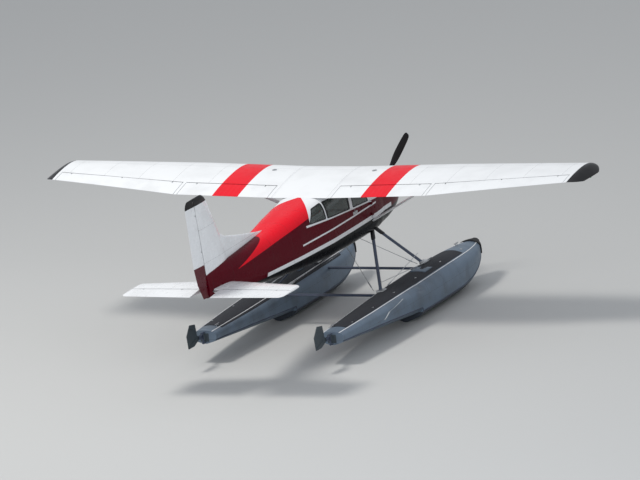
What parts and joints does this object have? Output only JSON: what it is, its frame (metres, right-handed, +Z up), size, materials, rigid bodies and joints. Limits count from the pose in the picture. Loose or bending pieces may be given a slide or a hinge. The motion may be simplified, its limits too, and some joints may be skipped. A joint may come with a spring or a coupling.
{
  "type": "high-wing single-engined floatplane",
  "caption": "Strut-braced high-wing light aircraft with a nose propeller and long dorsal fin, standing on a pair of straight floats with water rudders.",
  "frame": {"origin": "on the floor under the float keels, at the middle of the overall length and span", "axes": "+X to starboard, +Y forward to the propeller, +Z up"},
  "size_m": [10.92, 8.404, 3.7],
  "materials": {
    "white_paint": "gloss",
    "red_paint": "gloss",
    "black_paint": "satin",
    "float_paint": "satin",
    "strut_paint": "satin",
    "blade_paint": "satin",
    "bumper_rubber": "matte",
    "engine_metal": "matte",
    "bare_steel": "satin",
    "window_glass": "polished",
    "chair_fabric": "matte",
    "panel_plastic": "matte"
  },
  "bodies": {
    "airframe": {"roof_panel": "white_paint", "wing_left": "white_paint", "wing_right": "white_paint", "wing_tip_left": "black_paint", "wing_tip_right": "black_paint", "windshield": "window_glass", "mid_window_left": "window_glass", "mid_window_right": "window_glass", "aft_window_left": "window_glass", "aft_window_right": "window_glass", "cabin_shell": "red_paint", "cowling": "red_paint", "tailcone": "red_paint", "engine_block": "engine_metal", "exhaust_pipe": "bare_steel", "stabiliser": "white_paint", "fin": "white_paint", "fin_cap": "black_paint", "float_left": "float_paint", "float_right": "float_paint", "bow_bumper_left": "bumper_rubber", "bow_bumper_right": "bumper_rubber", "front_strut_left": "strut_paint", "front_strut_right": "strut_paint", "rear_strut_left": "strut_paint", "rear_strut_right": "strut_paint", "front_spreader": "strut_paint", "rear_spreader": "strut_paint", "wing_strut_left": "white_paint", "wing_strut_right": "white_paint", "seat_left": "chair_fabric", "seat_right": "chair_fabric", "bench_middle": "chair_fabric", "bench_rear": "chair_fabric", "instrument_panel": "panel_plastic"},
    "propeller": {"propeller": "blade_paint", "spinner": "red_paint"},
    "door_left": {"door_left": "red_paint", "door_window_left": "window_glass"},
    "door_right": {"door_right": "red_paint", "door_window_right": "window_glass"},
    "flap_left": {"flap_left": "white_paint"},
    "flap_right": {"flap_right": "white_paint"},
    "aileron_left": {"aileron_left": "white_paint"},
    "aileron_right": {"aileron_right": "white_paint"},
    "elevator": {"elevator": "white_paint"},
    "rudder": {"rudder": "white_paint", "rudder_cap": "black_paint"},
    "water_rudder_head_left": {"water_rudder_head_left": "strut_paint"},
    "water_rudder_head_right": {"water_rudder_head_right": "strut_paint"},
    "water_rudder_blade_left": {"water_rudder_blade_left": "strut_paint"},
    "water_rudder_blade_right": {"water_rudder_blade_right": "strut_paint"}
  },
  "joints": [
    {"name": "propeller_spin", "type": "hinge", "parent": "airframe", "child": "propeller", "pos_m": [0, 3.425, 2.05], "axis": [0, 1, 0], "continuous": true},
    {"name": "door_left_hinge", "type": "hinge", "parent": "airframe", "child": "door_left", "pos_m": [-0.575, 1.725, 1.96], "axis": [0, 0, -1], "range_deg": [0, 60]},
    {"name": "door_right_hinge", "type": "hinge", "parent": "airframe", "child": "door_right", "pos_m": [0.575, 1.725, 1.96], "axis": [0, 0, 1], "range_deg": [0, 60]},
    {"name": "flap_left_hinge", "type": "hinge", "parent": "airframe", "child": "flap_left", "pos_m": [-1.57, 0.50019, 2.69959], "axis": [0.9996, 0, -0.0279], "range_deg": [0, 40]},
    {"name": "flap_right_hinge", "type": "hinge", "parent": "airframe", "child": "flap_right", "pos_m": [1.57, 0.50019, 2.69959], "axis": [0.9996, 0, 0.0279], "range_deg": [0, 40]},
    {"name": "aileron_left_hinge", "type": "hinge", "parent": "airframe", "child": "aileron_left", "pos_m": [-3.865, 0.62081, 2.79195], "axis": [0.9947, -0.0906, -0.0489], "range_deg": [-18, 18]},
    {"name": "aileron_right_hinge", "type": "hinge", "parent": "airframe", "child": "aileron_right", "pos_m": [3.865, 0.62081, 2.79195], "axis": [0.9947, 0.0906, 0.0489], "range_deg": [-18, 18]},
    {"name": "elevator_hinge", "type": "hinge", "parent": "airframe", "child": "elevator", "pos_m": [0, -3.64, 1.93], "axis": [1, 0, 0], "range_deg": [-25, 22]},
    {"name": "rudder_hinge", "type": "hinge", "parent": "airframe", "child": "rudder", "pos_m": [0, -3.82, 2.705], "axis": [0, -0.0989, 0.9951], "range_deg": [-24, 24]},
    {"name": "water_rudder_left_steer", "type": "hinge", "parent": "airframe", "child": "water_rudder_head_left", "pos_m": [-1.29, -1.792, 0.51], "axis": [0, 0, 1], "range_deg": [-30, 30]},
    {"name": "water_rudder_right_steer", "type": "hinge", "parent": "airframe", "child": "water_rudder_head_right", "pos_m": [1.29, -1.792, 0.51], "axis": [0, 0, 1], "range_deg": [-30, 30]},
    {"name": "water_rudder_left_lift", "type": "hinge", "parent": "water_rudder_head_left", "child": "water_rudder_blade_left", "pos_m": [-1.29, -1.94, 0.56], "axis": [1, 0, 0], "range_deg": [0, 80]},
    {"name": "water_rudder_right_lift", "type": "hinge", "parent": "water_rudder_head_right", "child": "water_rudder_blade_right", "pos_m": [1.29, -1.94, 0.56], "axis": [1, 0, 0], "range_deg": [0, 80]}
  ],
  "couplings": [
    {"joint": "flap_right_hinge", "follows": "flap_left_hinge", "ratio": 1},
    {"joint": "aileron_right_hinge", "follows": "aileron_left_hinge", "ratio": -1},
    {"joint": "water_rudder_right_steer", "follows": "water_rudder_left_steer", "ratio": 1},
    {"joint": "water_rudder_right_lift", "follows": "water_rudder_left_lift", "ratio": 1}
  ]
}
